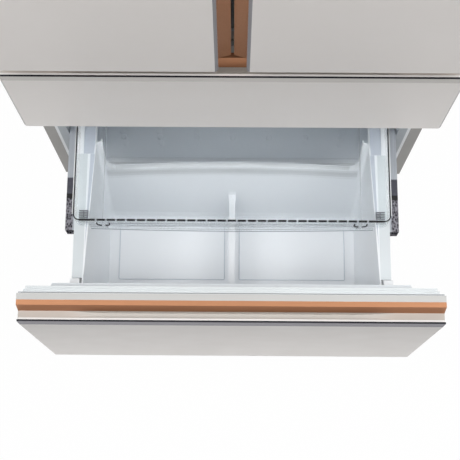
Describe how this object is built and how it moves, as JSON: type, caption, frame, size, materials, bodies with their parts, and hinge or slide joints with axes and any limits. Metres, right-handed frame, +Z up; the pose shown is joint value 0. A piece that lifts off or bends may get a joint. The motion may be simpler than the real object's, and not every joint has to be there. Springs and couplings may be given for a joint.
{
  "type": "refrigerator",
  "caption": "Tall refrigerator: French doors above a wide middle drawer and a deep freezer drawer on telescopic slides, modelled with the freezer drawer pulled open.",
  "frame": {"origin": "bottom centre of the bounding box with the freezer drawer open", "axes": "+Z up, fronts face -Y, +X to the right"},
  "size_m": [0.908, 1.244, 1.775],
  "materials": {
    "front_paint": "satin",
    "case_paint": "satin",
    "front_core": "matte",
    "copper": "brushed copper tint",
    "white_liner": "satin",
    "bin_white": "satin",
    "bracket_paint": "satin",
    "seal": "matte",
    "rail_steel": "zinc plated",
    "clear_plastic": "clear",
    "shelf_glass": "clear",
    "shelf_trim": "satin",
    "foam": "rigid foam",
    "galvanised": "galvanised",
    "dark_plastic": "matte",
    "pale_plastic": "matte",
    "hinge_steel": "satin",
    "foot_steel": "satin",
    "roller_plastic": "matte",
    "black_enamel": "gloss",
    "grommet": "matte",
    "coil_metal": "satin"
  },
  "bodies": {
    "cabinet": {"case_wrap": "case_paint", "back_panel": "galvanised", "base_pan": "galvanised", "machine_cover": "galvanised", "toe_grille": "dark_plastic", "leveling_feet": "foot_steel", "cabinet_foam": "foam", "fresh_food_liner": "white_liner", "middle_liner": "white_liner", "freezer_liner": "white_liner", "mullion_covers": "case_paint", "door_hinges": "hinge_steel", "hinge_covers": "dark_plastic", "shelf_frames": "shelf_trim", "glass_shelves": "shelf_glass", "crispers": "clear_plastic", "compressor": "black_enamel", "compressor_mounts": "grommet", "condenser": "coil_metal", "drain_pan": "dark_plastic", "fan_motors": "black_enamel", "evaporator_cover": "white_liner", "evaporator_coil": "coil_metal", "outer_rails": "rail_steel"},
    "rollers": {"rear_rollers": "roller_plastic"},
    "condenser_fan": {"condenser_fan": "dark_plastic"},
    "evaporator_fan": {"evaporator_fan": "pale_plastic"},
    "freezer_drawer": {"freezer_front_panel": "front_paint", "freezer_front_body": "front_core", "freezer_handle_strip": "copper", "freezer_front_liner": "white_liner", "freezer_gasket": "seal", "freezer_side_brackets": "bracket_paint", "freezer_inner_rails": "rail_steel", "freezer_bin": "bin_white", "freezer_divider": "bin_white"},
    "freezer_slides": {"freezer_slide_rails": "rail_steel"},
    "freezer_tray": {"freezer_tray": "clear_plastic"},
    "middle_drawer": {"middle_front_panel": "front_paint", "middle_front_body": "front_core", "middle_handle_strip": "copper", "middle_front_liner": "white_liner", "middle_gasket": "seal", "middle_side_brackets": "bracket_paint", "middle_inner_rails": "rail_steel", "middle_bin": "bin_white"},
    "middle_slides": {"middle_slide_rails": "rail_steel"},
    "left_door": {"left_door_panel": "front_paint", "left_door_body": "front_core", "left_door_handle_strip": "copper", "left_door_liner": "white_liner", "left_door_gasket": "seal", "left_door_bins": "clear_plastic"},
    "right_door": {"right_door_panel": "front_paint", "right_door_body": "front_core", "right_door_handle_strip": "copper", "right_door_liner": "white_liner", "right_door_gasket": "seal", "right_door_bins": "clear_plastic"},
    "flipper": {"flipper_mullion": "shelf_trim"}
  },
  "joints": [
    {"name": "freezer_drawer_slide", "type": "slide", "parent": "cabinet", "child": "freezer_drawer", "axis": [0, -1, 0], "range_m": [-0.428, 0]},
    {"name": "freezer_rails_slide", "type": "slide", "parent": "cabinet", "child": "freezer_slides", "axis": [0, -1, 0], "range_m": [-0.2646, 0]},
    {"name": "freezer_tray_slide", "type": "slide", "parent": "freezer_drawer", "child": "freezer_tray", "axis": [0, -1, 0], "range_m": [0, 0.115]},
    {"name": "middle_drawer_slide", "type": "slide", "parent": "cabinet", "child": "middle_drawer", "axis": [0, -1, 0], "range_m": [0, 0.4]},
    {"name": "middle_rails_slide", "type": "slide", "parent": "cabinet", "child": "middle_slides", "axis": [0, -1, 0], "range_m": [0, 0.2473]},
    {"name": "left_door_hinge", "type": "hinge", "parent": "cabinet", "child": "left_door", "pos_m": [-0.44, -0.164, 1.314], "axis": [0, 0, -1], "range_deg": [0, 115]},
    {"name": "right_door_hinge", "type": "hinge", "parent": "cabinet", "child": "right_door", "pos_m": [0.44, -0.164, 1.314], "axis": [0, 0, 1], "range_deg": [0, 115]},
    {"name": "flipper_hinge", "type": "hinge", "parent": "left_door", "child": "flipper", "pos_m": [-0.03, -0.103, 1.314], "axis": [0, 0, -1], "range_deg": [0, 90]},
    {"name": "condenser_fan_spin", "type": "hinge", "parent": "cabinet", "child": "condenser_fan", "pos_m": [-0.057, 0.511, 0.145], "axis": [1, 0, 0], "continuous": true},
    {"name": "evaporator_fan_spin", "type": "hinge", "parent": "cabinet", "child": "evaporator_fan", "pos_m": [0, 0.396, 0.477], "axis": [0, 1, 0], "continuous": true},
    {"name": "rear_roller_spin", "type": "hinge", "parent": "cabinet", "child": "rollers", "pos_m": [0, 0.526, 0.02], "axis": [1, 0, 0], "continuous": true}
  ],
  "couplings": [
    {"joint": "freezer_rails_slide", "follows": "freezer_drawer_slide", "ratio": 0.618},
    {"joint": "middle_rails_slide", "follows": "middle_drawer_slide", "ratio": 0.618}
  ]
}
